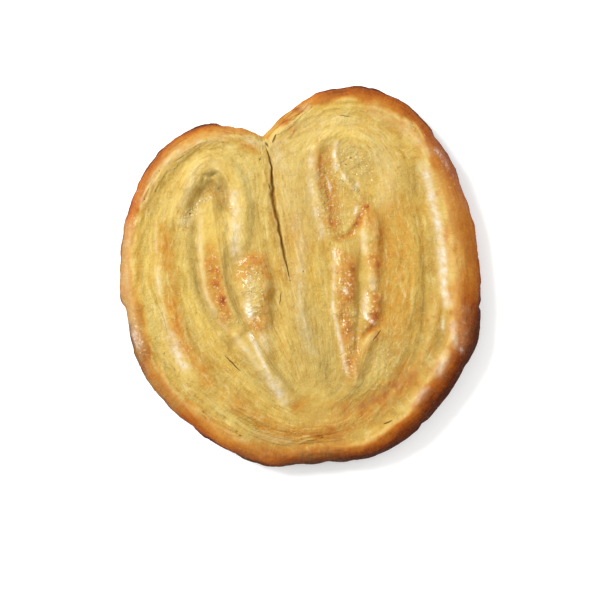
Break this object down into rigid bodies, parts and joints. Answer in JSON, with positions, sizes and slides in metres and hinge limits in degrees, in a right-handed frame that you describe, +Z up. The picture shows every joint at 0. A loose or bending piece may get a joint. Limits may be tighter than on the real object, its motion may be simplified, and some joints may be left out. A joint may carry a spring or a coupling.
{
  "type": "palmier pastry",
  "caption": "Flat two-lobed rolled puff pastry with a browned rounded rim, nested flaky folds, a notch at the top and a thin crack between the lobes.",
  "frame": {"origin": "centre of the flat base, in the middle of the pastry's overall box, where it rests", "axes": "+Z up through the thickness, +Y toward the notch between the lobes, +X toward the larger lobe"},
  "size_m": [0.1041, 0.11, 0.014],
  "materials": {
    "pastry": "baked puff pastry, pale cream layers with orange-brown glossy blisters and a brown satin rim"
  },
  "bodies": {
    "root": {"palmier": "pastry"}
  },
  "joints": []
}
